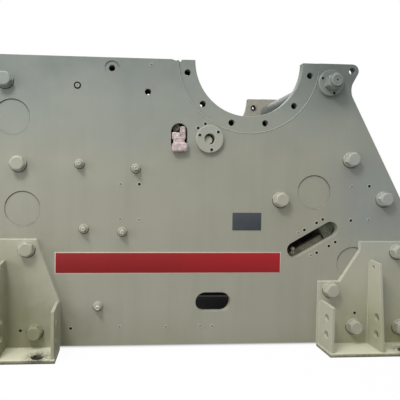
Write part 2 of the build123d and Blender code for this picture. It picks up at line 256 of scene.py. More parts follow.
class Finish:
    """A material under construction, with short calls for the nodes that the finishes share."""

    def __init__(self, name, roughness, metallic=0.0):
        self.material = bpy.data.materials.new(name)
        self.material.use_nodes = True
        self.tree = self.material.node_tree
        self.shader = self.tree.nodes["Principled BSDF"]
        self.shader.inputs["Roughness"].default_value = roughness
        self.shader.inputs["Metallic"].default_value = metallic
        self.position = self.node("ShaderNodeTexCoord").outputs["Object"]

    def node(self, kind, **settings):
        made = self.tree.nodes.new(kind)
        for key, value in settings.items():
            setattr(made, key, value)
        return made

    def link(self, source, target):
        self.tree.links.new(source, target)

    def stretched(self, x, y, z):
        mapping = self.node("ShaderNodeMapping")
        mapping.inputs["Scale"].default_value = (x, y, z)
        self.link(self.position, mapping.inputs["Vector"])
        return mapping.outputs["Vector"]

    def noise(self, scale, detail=4.0, rough=0.55, position=None):
        made = self.node("ShaderNodeTexNoise")
        made.inputs["Scale"].default_value = scale
        made.inputs["Detail"].default_value = detail
        made.inputs["Roughness"].default_value = rough
        self.link(position or self.position, made.inputs["Vector"])
        return made.outputs["Fac"]

    def remap(self, value, low, high, to_low=0.0, to_high=1.0):
        made = self.node("ShaderNodeMapRange")
        for key, number in (("From Min", low), ("From Max", high), ("To Min", to_low), ("To Max", to_high)):
            made.inputs[key].default_value = number
        self.link(value, made.inputs["Value"])
        return made.outputs["Result"]

    def ramp(self, value, stops):
        made = self.node("ShaderNodeValToRGB")
        points = made.color_ramp.elements
        while len(points) < len(stops):
            points.new(1.0)
        for point, (spot, shade) in zip(points, stops):
            point.position = spot
            point.color = shade
        self.link(value, made.inputs["Fac"])
        return made.outputs["Color"]

    def distance(self, spot):
        made = self.node("ShaderNodeVectorMath", operation="DISTANCE")
        made.inputs[1].default_value = spot
        self.link(self.position, made.inputs[0])
        return made.outputs["Value"]

    def axis(self, letter):
        made = self.node("ShaderNodeSeparateXYZ")
        self.link(self.position, made.inputs["Vector"])
        return made.outputs[letter]

    def math(self, operation, first, second):
        made = self.node("ShaderNodeMath", operation=operation)
        for socket, value in zip(made.inputs, (first, second)):
            if isinstance(value, (int, float)):
                socket.default_value = value
            else:
                self.link(value, socket)
        return made.outputs["Value"]

    def wavering(self, value, scale):
        """A value that a slow noise moves up and down by 0.2."""
        return self.math("ADD", value, self.remap(self.noise(scale), 0.3, 0.7, -0.2, 0.2))

    def clear_of(self, value, middle, near, far):
        """0 within one distance of a middle value, 1 beyond another."""
        gap = self.math("ABSOLUTE", self.math("SUBTRACT", value, middle), 0)
        return self.remap(gap, near, far)

    def mix(self, share, first, second, blend="MIX"):
        made = self.node("ShaderNodeMix", data_type="RGBA", blend_type=blend)
        for index, value in ((0, share), (6, first), (7, second)):
            if isinstance(value, (int, float, tuple)):
                made.inputs[index].default_value = value
            else:
                self.link(value, made.inputs[index])
        return made.outputs[2]

    def bump(self, height, strength, distance):
        made = self.node("ShaderNodeBump")
        made.inputs["Strength"].default_value = strength
        made.inputs["Distance"].default_value = distance
        self.link(height, made.inputs["Height"])
        self.link(made.outputs["Normal"], self.shader.inputs["Normal"])

    def done(self, shade, roughness=None):
        self.link(shade, self.shader.inputs["Base Color"])
        if roughness:
            self.link(roughness, self.shader.inputs["Roughness"])
        return self.material


def tinted_and_shaded_areas(paint, shade, along, height, rise):
    """Darker olive low at the front, painted shade on the horn at the rear top and a cooler band on the rear
    slant.
    """
    front = paint.remap(paint.wavering(along, 1.7), -0.95, -1.5)
    low = paint.remap(paint.wavering(height, 2.3), 1.0, 0.2)
    corner = paint.math("MULTIPLY", front, low)
    shade = paint.mix(paint.math("MULTIPLY", corner, 0.9), shade, LOW_FRONT_OLIVE)
    horn_shade = paint.math("MULTIPLY", paint.remap(along, 0.6, 1.1), paint.remap(height, 1.9, 2.25))
    shade = paint.mix(paint.math("MULTIPLY", horn_shade, 0.55), shade, HORN_SHADE)
    band = paint.math("MULTIPLY", paint.remap(rise, 0.75, 1.1), paint.remap(rise, 1.8, 1.5))
    cool = paint.math("MULTIPLY", paint.remap(along, 1.0, 1.35), band)
    return paint.mix(paint.math("MULTIPLY", cool, 0.55), shade, COOL_GREY)


def streaks_and_dust(paint, shade, clouds):
    """Upright streaks, pale clouds and fine dark dust."""
    streaks = paint.noise(1.0, 5.0, 0.6, paint.stretched(9.0, 9.0, 0.7))
    shade = paint.mix(paint.remap(streaks, 0.45, 0.8, 0.0, 0.2), shade, STREAK)
    shade = paint.mix(paint.remap(clouds, 0.4, 0.75, 0.0, 0.16), shade, CLOUD)
    dust = paint.noise(140.0, 2.0)
    return paint.mix(paint.remap(dust, 0.62, 0.8, 0.0, 0.22), shade, DUST)


def foot_dirt_and_sheen(paint, shade, along, height):
    """Stains on the rear feet, a painted highlight on the tops of the bases, grit round the anchor holes and
    a worn lip.
    """
    rear = paint.math("MULTIPLY", paint.remap(along, 1.05, 1.2), paint.remap(height, 0.62, 0.1))
    stain = paint.remap(paint.noise(3.1, 5.0), 0.3, 0.65, 0.2, 0.75)
    shade = paint.mix(paint.math("MULTIPLY", rear, stain), shade, FOOT_STAIN)
    grit = paint.noise(34.0, 8.0, 0.75)
    # Painted highlight on the tops of the bases, where the light falls
    top = paint.math("MULTIPLY", paint.remap(height, 0.0265, 0.0285), paint.remap(height, 0.036, 0.032))
    shade = paint.mix(paint.math("MULTIPLY", top, 0.8), shade, BASE_TOP_SHEEN)
    for x, y in ANCHOR_HOLES:
        near = paint.remap(paint.distance((x * MM, -y * MM, BASE_TOP * MM)), 0.13, 0.05)
        dirt_and_shadow = paint.math("MULTIPLY", near, paint.remap(grit, 0.44, 0.56, 0.1, 0.9))
        shade = paint.mix(dirt_and_shadow, shade, ANCHOR_DIRT)
    lip = paint.remap(paint.math("ADD", height, paint.remap(grit, 0.3, 0.7, -0.008, 0.008)), 0.019, 0.012)
    return paint.mix(paint.math("MULTIPLY", lip, 0.7), shade, LIP_DIRT)


def inner_lining(paint, shade, height):
    """Primer on the inner faces of the side plates, and painted shade that darkens them below their tops for
    the dark of the closed chamber.
    """
    face = INNER_PLATE_FACE * MM
    side = paint.math("ABSOLUTE", paint.axis("Y"), 0)
    inner = paint.remap(side, face + 0.007, face + 0.003)
    upper = paint.remap(height, 1.9, 2.0)
    chamber_shade = paint.math("MULTIPLY", inner, paint.math("SUBTRACT", 1.0, upper))
    shade = paint.mix(paint.math("MULTIPLY", inner, 0.7), shade, PRIMER)
    return paint.mix(paint.math("MULTIPLY", chamber_shade, 0.93), shade, CHAMBER_SHADE)


def machine_paint(name, light=1.0, cast=False, foot=False, lined=False):
    """Pale grey-green paint with painted shade that makes it darker and cooler near the top, warmer and olive
    low down, with streaks and dust.
    """
    paint = Finish(name, 0.55)
    height = paint.axis("Z")
    along = paint.axis("X")
    rise = paint.math("ADD", height, paint.remap(paint.noise(1.1, 3.0), 0.3, 0.7, -0.16, 0.16))
    clouds = paint.noise(3.4, 6.0, 0.6)
    shade = paint.ramp(paint.math("DIVIDE", rise, FRAME_HEIGHT), PAINT_AND_SHADE_LEVELS)
    shade = tinted_and_shaded_areas(paint, shade, along, height, rise)
    shade = streaks_and_dust(paint, shade, clouds)
    if foot:
        shade = foot_dirt_and_sheen(paint, shade, along, height)
    if light != 1.0:
        shade = paint.mix(1.0, shade, (light, light, light, 1.0), "MULTIPLY")
    if lined:
        shade = inner_lining(paint, shade, height)
    if cast:
        grain = paint.math("ADD", paint.noise(38.0, 6.0, 0.65), paint.noise(9.0, 3.0))
        paint.bump(grain, 0.55, 0.004)
    else:
        peel = paint.math("ADD", paint.noise(210.0, 2.0), paint.math("MULTIPLY", paint.noise(14.0, 4.0), 2.0))
        paint.bump(peel, 0.2, 0.0012)
    return paint.done(shade, paint.remap(clouds, 0.3, 0.7, 0.48, 0.64))


def worn_steel(name, dark, pale, rust_share):
    """Bare cast steel with rust patches and a coarse skin."""
    steel = Finish(name, 0.6, 0.25)
    skin = steel.noise(26.0, 8.0, 0.65)
    shade = steel.mix(steel.remap(skin, 0.35, 0.7), dark, pale)
    rust = steel.noise(5.0, 7.0, 0.7)
    shade = steel.mix(steel.remap(rust, 0.5, 0.72, 0.0, rust_share), shade, RUST)
    steel.bump(steel.math("ADD", skin, steel.noise(90.0, 3.0)), 0.5, 0.003)
    return steel.done(shade, steel.remap(rust, 0.35, 0.7, 0.45, 0.8))


def stripe_print(name):
    """Printed film of one dull red, with a little fading along its length."""
    film = Finish(name, 0.6)
    fade = film.noise(1.3, 3.0)
    shade = film.mix(film.remap(fade, 0.35, 0.7), colour(130, 0, 4), colour(142, 0, 10))
    glow = film.remap(film.axis("X"), -0.6, 0.7, 0.0, 1.0)
    shade = film.mix(glow, shade, colour(168, 18, 28))
    film.bump(film.noise(60.0, 3.0), 0.08, 0.001)
    return film.done(shade, film.remap(film.noise(6.0), 0.3, 0.7, 0.55, 0.7))


def plain_film(name, shade_a, shade_b, roughness, grain=30.0):
    film = Finish(name, roughness)
    patch = film.noise(grain * 0.2, 5.0)
    shade = film.mix(film.remap(patch, 0.35, 0.7), shade_a, shade_b)
    film.bump(film.noise(grain * 4, 3.0), 0.1, 0.001)
    return film.done(shade, film.remap(film.noise(grain), 0.3, 0.7, roughness - 0.08, roughness + 0.1))


def wrapping(name):
    """Cloudy plastic film, pinkish, with white creases."""
    film = Finish(name, 0.4)
    creases = film.noise(30.0, 6.0, 0.7, film.stretched(1.0, 1.0, 0.55))
    shade = film.mix(film.remap(creases, 0.38, 0.62), colour(150, 133, 130), colour(206, 190, 187))
    fold = film.noise(9.0, 4.0)
    shade = film.mix(film.remap(fold, 0.5, 0.7, 0.0, 0.6), shade, colour(120, 104, 98))
    film.bump(film.math("ADD", creases, fold), 0.7, 0.006)
    return film.done(shade, film.remap(fold, 0.3, 0.7, 0.2, 0.45))


plate_paint = machine_paint("plate_paint", lined=True)
bar_paint = machine_paint("bar_paint")
casting_paint = machine_paint("casting_paint", cast=True)
foot_paint = machine_paint("foot_paint", light=1.3, foot=True)
fitting_paint = machine_paint("fitting_paint", light=1.18)
# A lighter copy of the paint for painted highlights on edges, rims, welds and washers
lit_paint = machine_paint("lit_paint", light=1.32)
# A still lighter copy of the paint for painted highlights on the flange plug and the stud ends
bright_lit_paint = machine_paint("bright_lit_paint", light=1.5)
wear_steel = worn_steel("wear_steel", colour(70, 68, 64), colour(118, 114, 106), 0.55)
guide_steel = worn_steel("guide_steel", colour(92, 88, 74), colour(150, 145, 126), 0.3)
beam_steel = worn_steel("beam_steel", colour(92, 95, 78), colour(146, 149, 128), 0.2)
hose_skin = worn_steel("hose_skin", colour(46, 42, 36), colour(128, 120, 102), 0.3)
stripe_red = stripe_print("stripe_red")
stripe_edge = plain_film("stripe_edge", colour(206, 184, 172), colour(190, 176, 160), 0.5)
plate_dark = plain_film("plate_dark", colour(58, 62, 67), colour(70, 74, 79), 0.6)
# Dark film for painted shadow along the pin rings and a spot face and below the washers
shadow_film = plain_film("shadow_film", colour(62, 62, 52), colour(92, 91, 78), 0.85)
socket_grey = plain_film("socket_grey", colour(74, 74, 66), colour(98, 98, 88), 0.8)
# Near-black, for painted shade in the holes and behind the window
hole_shade = plain_film("hole_shade", colour(4, 4, 4), colour(12, 11, 10), 0.95)
film_wrap = wrapping("film_wrap")


def finish_frame_nodes():
    """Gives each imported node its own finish."""
    for name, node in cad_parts.items():
        if "casting" in name:
            material = casting_paint
        elif "cheek_plate" in name or "jaw_die" in name:
            material = wear_steel
        elif "guide" in name:
            material = guide_steel
        elif "beam" in name:
            material = beam_steel
        elif "foot" in name:
            material = foot_paint
        elif name == "window_fitting":
            material = film_wrap
        elif "side_plate" in name:
            material = plate_paint
        else:
            material = bar_paint
        node.data.materials.clear()
        node.data.materials.append(material)


def skin_group():
    """Joins a node's triangles and shades them smooth, ready for the edge rounding that follows."""
    group = bpy.data.node_groups.new("joined_skin", "GeometryNodeTree")
    group.interface.new_socket("Geometry", in_out="INPUT", socket_type="NodeSocketGeometry")
    group.interface.new_socket("Geometry", in_out="OUTPUT", socket_type="NodeSocketGeometry")
    start = group.nodes.new("NodeGroupInput")
    merge = group.nodes.new("GeometryNodeMergeByDistance")
    merge.inputs["Distance"].default_value = 0.0002
    smooth = group.nodes.new("GeometryNodeSetShadeSmooth")
    end = group.nodes.new("NodeGroupOutput")
    group.links.new(start.outputs[0], merge.inputs["Geometry"])
    group.links.new(merge.outputs["Geometry"], smooth.inputs["Geometry"])
    group.links.new(smooth.outputs["Geometry"], end.inputs[0])
    return group


def round_frame_edges():
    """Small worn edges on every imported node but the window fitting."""
    group = skin_group()
    for name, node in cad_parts.items():
        if name == "window_fitting":
            continue
        skin = node.modifiers.new("skin", "NODES")
        skin.node_group = group
        edge = node.modifiers.new("edge", "BEVEL")
        edge.width = WORN_EDGE * MM
        edge.segments = 2
        edge.limit_method = "ANGLE"
        edge.angle_limit = math.radians(35)
        level = node.modifiers.new("level", "WEIGHTED_NORMAL")
        level.mode = "FACE_AREA"
        level.weight = 60


def along_normal(bm):
    """Turns a shape that stands on the floor so that its foot is on a plate and it points to -Y."""
    bmesh.ops.rotate(bm, cent=(0, 0, 0), matrix=Matrix.Rotation(math.radians(90), 3, "X"), verts=bm.verts)


def turned(profile, steps=32):
    """A round piece from its profile of radius and height, standing on the floor."""
    bm = bmesh.new()
    chain = [bm.verts.new((radius * MM, 0, height * MM)) for radius, height in profile]
    edges = [bm.edges.new(pair) for pair in zip(chain, chain[1:])]
    bmesh.ops.spin(
        bm,
        geom=chain + edges,
        cent=(0, 0, 0),
        axis=(0, 0, 1),
        angle=math.tau,
        steps=steps,
        use_merge=True,
        use_duplicate=False,
    )
    bmesh.ops.remove_doubles(bm, verts=bm.verts, dist=1e-6)
    bmesh.ops.recalc_face_normals(bm, faces=bm.faces)
    return bm


def hexagon_radius(angle, flats):
    """Distance to a hexagon's side at an angle."""
    turn = (angle + math.pi / 6) % (math.pi / 3) - math.pi / 6
    return flats / 2 / math.cos(turn)


def grow_cap(bm):
    """Extrudes the highest face, takes the old one away and gives the new points."""
    top = max(bm.faces, key=lambda face: face.calc_center_median().z)
    made = bmesh.ops.extrude_face_region(bm, geom=[top])
    fresh = [item for item in made["geom"] if isinstance(item, bmesh.types.BMVert)]
    bmesh.ops.delete(bm, geom=[top], context="FACES_ONLY")
    return fresh


def set_ring(verts, rule):
    """Moves each point of a ring to the radius and height that a rule gives for its angle."""
    for vert in verts:
        angle = math.atan2(vert.co.y, vert.co.x)
        reach, height = rule(angle)
        vert.co = Vector((math.cos(angle) * reach, math.sin(angle) * reach, height)) * MM


def hexagon_block(flats, height, face_r, slope=30.0, sides=36):
    """A bolt head or nut: a hexagon with the corners of its end turned off to a cone."""

    def foot(angle):
        return hexagon_radius(angle, flats), 0

    def shoulder(angle):
        reach = hexagon_radius(angle, flats)
        return reach, height - max(reach - face_r, 0) * math.tan(math.radians(slope))

    def face(angle):
        return face_r, height

    bm = bmesh.new()
    bmesh.ops.create_circle(bm, cap_ends=True, segments=sides, radius=1.0)
    set_ring(bm.verts, foot)
    set_ring(grow_cap(bm), shoulder)
    set_ring(grow_cap(bm), face)
    bmesh.ops.recalc_face_normals(bm, faces=bm.faces)
    return bm


def joined(parts):
    """One bmesh from several, each freed."""
    whole = bmesh.new()
    for part in parts:
        mesh = bpy.data.meshes.new("joining")
        part.to_mesh(mesh)
        part.free()
        whole.from_mesh(mesh)
        bpy.data.meshes.remove(mesh)
    return whole


def raised(bm, height):
    bmesh.ops.translate(bm, verts=bm.verts, vec=(0, 0, height * MM))
    return bm


def repeated(pattern, spots, spin=True):
    """Copies of a piece that stands on the floor, set on a plate's outer face at (x, z, outward distance)."""
    mesh = bpy.data.meshes.new("pattern")
    pattern.to_mesh(mesh)
    pattern.free()
    whole = bmesh.new()
    for x, z, out in spots:
        one = bmesh.new()
        one.from_mesh(mesh)
        if spin:
            turn = Matrix.Rotation(rng.uniform(0, math.tau), 3, "Z")
            bmesh.ops.rotate(one, cent=(0, 0, 0), matrix=turn, verts=one.verts)
        along_normal(one)
        bmesh.ops.translate(one, verts=one.verts, vec=(x * MM, -out * MM, z * MM))
        copy = bpy.data.meshes.new("copy")
        one.to_mesh(copy)
        one.free()
        whole.from_mesh(copy)
        bpy.data.meshes.remove(copy)
    bpy.data.meshes.remove(mesh)
    return whole


def stood_at(bm, x, z, out):
    """One piece that stands on the floor, set on a plate without a turn."""
    return repeated(bm, [(x, z, out)], False)


def place(name, bm, material, soften=32.0):
    """Makes a finished piece that rides on the frame."""
    mesh = bpy.data.meshes.new(name)
    bm.to_mesh(mesh)
    bm.free()
    mesh.shade_smooth()
    mesh.set_sharp_from_angle(angle=math.radians(soften))
    mesh.materials.append(material)
    piece = bpy.data.objects.new(name, mesh)
    bpy.context.scene.collection.objects.link(piece)
    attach(piece, "root")
    return piece


def mirrored(bm):
    """The same shape on the other side plate."""
    other = bm.copy()
    bmesh.ops.scale(other, vec=(1, -1, 1), verts=other.verts)
    bmesh.ops.reverse_faces(other, faces=other.faces)
    return other


def place_pair(name, bm, material, soften=32.0):
    other = mirrored(bm)
    left = place(name + "_left", bm, material, soften)
    right = place(name + "_right", other, material, soften)
    return left, right


def on(face, spots):
    return [(x, z, face) for x, z in spots]


def frame_bolt():
    r = BOLT_WASHER_R
    h = BOLT_WASHER_H
    washer = turned([(0, 0), (r, 0), (r, h - 2), (r - 2, h), (0, h)], 40)
    head = raised(hexagon_block(BOLT_FLATS, BOLT_HEAD_H, BOLT_FACE_R), h)
    return joined([washer, head])


def liner_washer():
    r = LINER_WASHER_R
    h = LINER_WASHER_H
    return turned([(0, 0), (r, 0), (r, h - 1.5), (r - 1.5, h), (0, h)], 32)


def liner_nut():
    return raised(hexagon_block(LINER_NUT_FLATS, LINER_NUT_H, LINER_NUT_FLATS / 2 - 3), LINER_WASHER_H)


def liner_stud_end():
    """The threaded end of a stud, with a shallow drilled centre."""
    r = LINER_STUD_R
    top = LINER_STUD_PROUD
    rings = [(0, 0), (r, 0)]
    for turn in range(THREAD_TURNS):
        crest = 1 + turn * THREAD_PITCH
        rings += [(r, crest), (r - THREAD_DEPTH, crest + THREAD_PITCH / 2)]
    rings += [(r, top - 3), (r - 3, top), (9, top), (8, top - 6), (0, top - 6)]
    return raised(turned(rings, 24), LINER_WASHER_H + LINER_NUT_H)


def tap_rim():
    r = TAP_R
    return turned([(r + 6, 0), (r + 4.5, 1.2), (r + 1, 1.4), (r, 0.3)], 24)


def tap_shade(radius=TAP_R):
    return turned([(0, 0), (radius, 0), (radius, 0.5), (0, 0.5)], 24)


def plug_screw():
    r = TAP_R
    return turned([(0, -0.5), (r - 5, -0.5), (r - 4, 1.6), (r, 2.4), (r + 4, 1.6), (r + 5, 0)], 24)


def off_centre_sleeve(bore, along, up):
    """A black sleeve of painted shade that fills a bolt hole and leaves a smaller bore off its centre, or
    none.
    """
    bm = bmesh.new()
    bmesh.ops.create_circle(bm, cap_ends=True, segments=32, radius=(SEAT_HOLE_R + 3) * MM)
    if bore:
        face = bm.faces[:][0]
        rim = bmesh.ops.inset_individual(bm, faces=[face], thickness=2 * MM)["faces"]
        inner = next(one for one in bm.faces if one not in rim)
        share = bore / (SEAT_HOLE_R + 1)
        bmesh.ops.scale(bm, verts=inner.verts, vec=(share, share, 1))
        bmesh.ops.translate(bm, verts=inner.verts, vec=(along * MM, up * MM, 0))
        bmesh.ops.delete(bm, geom=[inner], context="FACES_ONLY")
    made = bmesh.ops.extrude_face_region(bm, geom=list(bm.faces))
    front = [item for item in made["geom"] if isinstance(item, bmesh.types.BMVert)]
    bmesh.ops.translate(bm, verts=front, vec=(0, 0, SLEEVE_LENGTH * MM))
    bmesh.ops.recalc_face_normals(bm, faces=bm.faces)
    return bm


def socket_plug():
    """A screwed plug in a hoist hole, with a small dark socket."""
    r = SEAT_HOLE_R
    rings = [(0, 1), (5, 1), (6, 7), (16, 7), (18, 5), (18, -6), (r, -6), (r, -20), (0, -20)]
    return turned(rings, 32)


def fit_hole_sleeves():
    """Black sleeves of painted shade that block the light in the bolt holes of the seat and in the hoist
    holes.
    """
    behind = INNER_PLATE_FACE - SLEEVE_LENGTH - SLEEVE_GAP
    sleeves = []
    for step, (bore, along, up) in enumerate(SEAT_SLEEVES):
        angle = math.radians((step - 2.5) * SEAT_HOLE_STEP)
        x = SEAT_X + SEAT_HOLE_CIRCLE_R * math.sin(angle)
        z = SEAT_Z - SEAT_HOLE_CIRCLE_R * math.cos(angle)
        sleeves.append(stood_at(off_centre_sleeve(bore, along, up), x, z, behind))
    for (x, z), (bore, along, up) in zip(HOIST_HOLES, HOIST_SLEEVES):
        sleeves.append(stood_at(off_centre_sleeve(bore, along, up), x, z, behind))
    place_pair("hole_sleeves", joined(sleeves), hole_shade)
    x, z = HOIST_HOLES[0]
    plug = stood_at(socket_plug(), x, z, PLATE_FACE - 5)
    place_pair("hoist_hole_plug", plug, fitting_paint)
    # A black ring of painted shade in the gap round the plug
    shade_ring = stood_at(turned([(18, 0), (18, 0.8), (29, 0.8), (29, 0)], 32), x, z, PLATE_FACE + 0.2)
    place_pair("hoist_hole_shade_ring", shade_ring, hole_shade)


def fit_bolts():
    spots = on(PLATE_FACE, BOLTS_ON_PLATE) + on(PAD_FACE, BOLTS_ON_PADS)
    place_pair("frame_bolts", repeated(frame_bolt(), spots), fitting_paint, CRISP)
    studs = on(PLATE_FACE, LINER_STUDS)
    # The washers and stud ends are in lighter copies of the paint, as painted highlights
    place_pair("liner_washers", repeated(liner_washer(), studs), lit_paint, CRISP)
    place_pair("liner_nuts", repeated(liner_nut(), studs), plate_paint, CRISP)
    place_pair("liner_stud_ends", repeated(liner_stud_end(), studs), bright_lit_paint, CRISP)


def fit_taps():
    spots = on(PLATE_FACE, TAPS_ON_PLATE) + on(PAD_FACE, TAPS_ON_PADS)
    for angle in FLANGE_TAP_ANGLES:
        x = FLANGE_X + FLANGE_TAP_R * math.cos(math.radians(angle))
        z = FLANGE_Z + FLANGE_TAP_R * math.sin(math.radians(angle))
        spots.append((x, z, FLANGE_FACE))
    for along, up in TIE_WASHER_TAPS:
        spots.append((TIE_X + along, TIE_Z + up, WASHER_FACE))
    # The pale rims are painted highlights round the holes, and the black discs in them painted shade
    place_pair("tapped_hole_rims", repeated(tap_rim(), spots, False), lit_paint)
    place_pair("tapped_holes", repeated(tap_shade(), spots, False), hole_shade)
    plugs = repeated(plug_screw(), on(PLATE_FACE, PLUGGED_TAPS), False)
    place_pair("plug_screws", plugs, fitting_paint)
    shades = [(x + 2, z + 2, PLATE_FACE + 0.3) for x, z in PLUGGED_TAPS]
    sockets = repeated(tap_shade(TAP_R - 6), shades, False)
    place_pair("plug_sockets", sockets, socket_grey)


def bevelled_panel(x_range, z_range, face, thick, edge):
    """A thin panel stuck on the plate, with its outer edges bevelled."""
    bm = bmesh.new()
    bmesh.ops.create_grid(bm, x_segments=1, y_segments=1, size=0.5)
    x0, x1 = x_range
    z0, z1 = z_range
    for vert in bm.verts:
        x = x0 + (vert.co.x + 0.5) * (x1 - x0)
        z = z0 + (vert.co.y + 0.5) * (z1 - z0)
        vert.co = Vector((x * MM, -face * MM, z * MM))
    made = bmesh.ops.extrude_face_region(bm, geom=list(bm.faces))
    front = [item for item in made["geom"] if isinstance(item, bmesh.types.BMVert)]
    bmesh.ops.translate(bm, verts=front, vec=(0, -thick * MM, 0))
    rim = [e for e in bm.edges if all(v in front for v in e.verts)]
    bmesh.ops.bevel(
        bm, geom=rim, offset=edge * MM, segments=2, profile=0.5, affect="EDGES", material=-1
    )
    bmesh.ops.recalc_face_normals(bm, faces=bm.faces)
    return bm


def fit_stripe():
    b = STRIPE_BORDER
    edge_x = (STRIPE_X[0] - b, STRIPE_X[1] + b)
    edge_z = (STRIPE_Z[0] - b, STRIPE_Z[1] + b)
    border = bevelled_panel(edge_x, edge_z, PLATE_FACE, 0.6, 0.4)
    place_pair("stripe_border", border, stripe_edge)
    stripe = bevelled_panel(STRIPE_X, STRIPE_Z, PLATE_FACE + 0.5, 0.8, 0.4)
    place_pair("red_stripe", stripe, stripe_red)
    plate = bevelled_panel(PLATE_X, PLATE_Z, PLATE_FACE, 2.5, 0.8)
    place("bare_plate", plate, plate_dark)


def tie_nut():
    nut = hexagon_block(TIE_NUT_FLATS, TIE_NUT_H, TIE_NUT_FLATS / 2 - 4)
    return stood_at(nut, TIE_X, TIE_Z, WASHER_FACE)


def tie_stud_cap():
    r = TIE_CAP_R
    h = 8.0
    rings = [(0, -4), (9, -4), (10, h - 1), (11, h), (24, h), (25, h - 2), (28, h - 2)]
    rings += [(29, h), (r - 6, h), (r, h - 5), (r, -6), (0, -6)]
    return stood_at(turned(rings, 40), TIE_X, TIE_Z, STUD_END)


def tie_washer():
    r = TIE_WASHER_R
    h = WASHER_FACE - PLATE_FACE
    washer = turned([(50, 0), (r, 0), (r, h - 4), (r - 4, h), (50, h)], 48)
    return stood_at(washer, TIE_X, TIE_Z, PLATE_FACE)


def round_flange():
    r = FLANGE_R
    b = FLANGE_BORE_R
    h = FLANGE_FACE - PLATE_FACE
    rings = [(b, 0), (b, h - 3), (b + 3, h), (r - 4, h), (r, h - 4), (r, 0)]
    return stood_at(turned(rings, 56), FLANGE_X, FLANGE_Z, PLATE_FACE)


def flange_plug():
    """The shaft end that shows in the flange bore, off its centre, in a lighter copy of the paint as a
    painted highlight.
    """
    rings = [(0, 60), (30, 60), (34, 56), (34, 0), (0, 0)]
    return stood_at(turned(rings, 32), FLANGE_X - 7, FLANGE_Z - 7, PLATE_FACE - 57)


def arc_band(radius, width, first, sweep, height=2.5):
    """A thin raised band round part of a circle, from one angle over a sweep in degrees."""
    bm = bmesh.new()
    outer = radius + width
    profile = [(radius, -1), (radius, height * 0.4), (radius + width * 0.3, height)]
    profile += [(outer - width * 0.3, height), (outer, 0)]
    chain = [bm.verts.new((reach * MM, 0, level * MM)) for reach, level in profile]
    edges = [bm.edges.new(pair) for pair in zip(chain, chain[1:] + chain[:1])]
    start = Matrix.Rotation(math.radians(first), 3, "Z")
    bmesh.ops.rotate(bm, cent=(0, 0, 0), matrix=start, verts=bm.verts)
    swing = math.radians(sweep)
    steps = max(round(sweep / 2), 8)
    made = bmesh.ops.spin(bm, geom=chain + edges, cent=(0, 0, 0), axis=(0, 0, 1), angle=swing, steps=steps)
    last = [item for item in made["geom_last"] if isinstance(item, bmesh.types.BMEdge)]
    bmesh.ops.edgeloop_fill(bm, edges=edges)
    bmesh.ops.edgeloop_fill(bm, edges=last)
    bmesh.ops.recalc_face_normals(bm, faces=bm.faces)
    return bm


def seat_step_highlight():
    """A painted highlight: a band of lighter paint on the lower half of the machined ring round the bearing
    seat, where its step catches the light.
    """
    return stood_at(arc_band(SEAT_RING_R - 1, 6, -174, 168), SEAT_X, SEAT_Z, PLATE_FACE)


def fit_ring_lines():
    """Painted shadow along the top of the keying pins' rings and of a spot face, and a painted highlight
    along the bottom of the pins' rings.
    """
    pin_shadows = repeated(arc_band(PIN_R - 0.5, 3.0, 15, 150, 0.8), on(PLATE_FACE, PINS), False)
    spot = repeated(arc_band(SPOT_FACE_R - 1, 4.0, 10, 160, 0.8), on(PLATE_FACE, HOIST_HOLES[1:2]), False)
    place_pair("pin_ring_shadows", joined([pin_shadows, spot]), shadow_film)
    pin_highlights = repeated(arc_band(PIN_R, 4.0, -150, 115, 1.6), on(PLATE_FACE, PINS), False)
    place_pair("pin_ring_highlights", pin_highlights, lit_paint)


def just_below(face, spots):
    return [(x + 1, z - 2, face) for x, z in spots]


def fit_washer_shadows():
    """Painted shadow below the washers."""
    wide = arc_band(BOLT_WASHER_R - 6, 12.0, 170, 200, 0.5)
    small = arc_band(LINER_WASHER_R - 6, 11.0, 170, 200, 0.5)
    spots = just_below(PLATE_FACE, BOLTS_ON_PLATE) + just_below(PAD_FACE, BOLTS_ON_PADS)
    dirt_and_shadow = joined([repeated(wide, spots, False), repeated(small, just_below(PLATE_FACE, LINER_STUDS), False)])
    place_pair("washer_shadows", dirt_and_shadow, shadow_film)


def fit_tie_and_flange():
    nuts = place_pair("tie_bar_end_nut", tie_nut(), fitting_paint, CRISP)
    washers = place_pair("tie_bar_end_washer", tie_washer(), fitting_paint)
    flanges = place_pair("bolted_flange", round_flange(), fitting_paint)
    for side, nut, washer, flange in zip(("left", "right"), nuts, washers, flanges):
        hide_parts("tie_bar_nut_" + side)
        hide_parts("tie_bar_washer_" + side)
        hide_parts("round_flange_" + side)
    place_pair("tie_stud_cap", tie_stud_cap(), fitting_paint)
    place_pair("flange_plug", flange_plug(), bright_lit_paint)
    place_pair("seat_step_highlight", seat_step_highlight(), lit_paint)


def lumpy(bm, amount, scale):
    """Moves the skin of a shape in and out by a smooth noise."""
    bm.normal_update()
    for vert in bm.verts:
        swell = noise.noise(vert.co * scale) * amount * MM
        vert.co += vert.normal * swell


def pillow(centre, size):
    """A soft lump of wrapping: a block with rounded sides."""
    bm = bmesh.new()
    bmesh.ops.create_cube(bm, size=1.0)
    bmesh.ops.subdivide_edges(bm, edges=list(bm.edges), cuts=9, use_grid_fill=True)
    skin = list(bm.verts)
    for turn in range(6):
        bmesh.ops.smooth_vert(bm, verts=skin, factor=0.5, use_axis_x=True, use_axis_y=True, use_axis_z=True)
    bmesh.ops.scale(bm, verts=bm.verts, vec=[value * 1.12 * MM for value in size])
    bmesh.ops.translate(bm, verts=bm.verts, vec=[value * MM for value in centre])
    lumpy(bm, 5.0, 34.0)
    lumpy(bm, 2.5, 90.0)
    return bm


